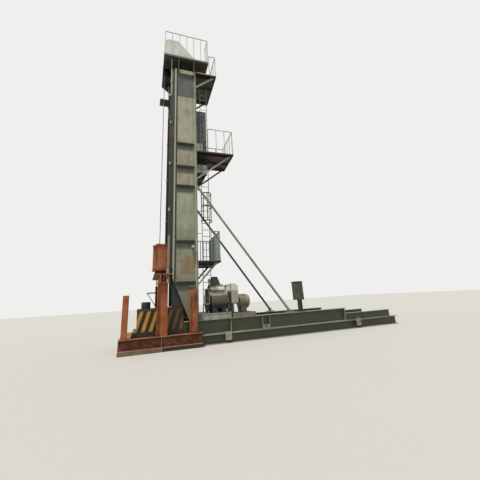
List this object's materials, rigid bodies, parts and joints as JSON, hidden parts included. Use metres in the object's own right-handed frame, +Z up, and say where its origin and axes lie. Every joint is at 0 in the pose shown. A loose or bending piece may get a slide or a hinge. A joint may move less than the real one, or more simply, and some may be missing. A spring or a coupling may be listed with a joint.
{
  "type": "belt pumping unit",
  "caption": "Tall plated oilfield belt pumping unit on a rail-mounted skid, with hooded crown drum, rear platforms, ladder, braces, drive and load test frame.",
  "frame": {"origin": "on the ground, on the axis of the well, straight under the stretch of load belt that hangs in front of the tower", "axes": "+Z up, +X from the well back along the rails, +Y across the skid, away from the side that the picture shows"},
  "size_m": [12.18, 2.6784, 14.725],
  "materials": {
    "bare_steel": "turned steel rim",
    "belt_rubber": "flat reinforced rubber belt",
    "cabinet_green": "dark green enamel",
    "dark_steel": "dark oily steel",
    "galvanised": "galvanised tube, dull",
    "hood_cream": "cream enamel on sheet steel",
    "machine_cream": "cream-grey enamel on machine housings",
    "rail_paint": "grey-green enamel, dusty and chipped",
    "railing_paint": "pale grey-green enamel on tube",
    "rusty_steel": "old mill steel with even brown rust",
    "sleeper_timber": "grey weathered timber, end grain cracked",
    "stripe_paint": "yellow and black slanted warning stripes, dusty",
    "tower_paint": "grey-green machinery enamel, weathered"
  },
  "bodies": {
    "root": {"belt_guard": "machine_cream", "belt_guide_frame": "cabinet_green", "box_tray": "dark_steel", "brace_feet": "tower_paint", "braces": "tower_paint", "brake_motor": "machine_cream", "cabinet_post": "dark_steel", "control_cabinet": "cabinet_green", "counterweight_box": "dark_steel", "crown_bearings": "dark_steel", "crown_deck": "tower_paint", "crown_drum": "bare_steel", "crown_hood": "hood_cream", "crown_railing": "railing_paint", "drive_base": "tower_paint", "drive_coupling": "bare_steel", "drive_motor": "machine_cream", "drive_ring": "machine_cream", "frame_base_beams": "rusty_steel", "frame_centre_columns": "rusty_steel", "frame_corner_posts": "rusty_steel", "frame_cross_beams": "rusty_steel", "frame_cross_head": "rusty_steel", "frame_sleepers": "sleeper_timber", "front_guide_pipes": "galvanised", "hanger_links": "rusty_steel", "hanging_block": "rusty_steel", "ladder": "railing_paint", "ladder_cage": "railing_paint", "lever_frame": "dark_steel", "lid_drum": "dark_steel", "load_belt": "belt_rubber", "low_platform": "tower_paint", "low_platform_railing": "railing_paint", "low_platform_struts": "tower_paint", "middle_platform": "tower_paint", "middle_platform_railing": "railing_paint", "middle_platform_struts": "tower_paint", "motor_base": "cabinet_green", "motor_cover": "machine_cream", "rail_clamps": "tower_paint", "rail_far": "rail_paint", "rail_near": "rail_paint", "rear_housing": "tower_paint", "skid_beam_far": "tower_paint", "skid_beam_near": "tower_paint", "skid_cross_members": "tower_paint", "skid_deck_plates": "tower_paint", "striped_box": "stripe_paint", "tail_beam_far": "rail_paint", "tail_beam_near": "rail_paint", "terminal_box": "cabinet_green", "tower_foot_plates": "tower_paint", "tower_front_ties": "tower_paint", "tower_rear_wall": "tower_paint", "tower_side_far": "tower_paint", "tower_side_near": "tower_paint", "upper_platform": "tower_paint", "upper_platform_railing": "railing_paint", "upper_platform_struts": "tower_paint"}
  },
  "joints": []
}
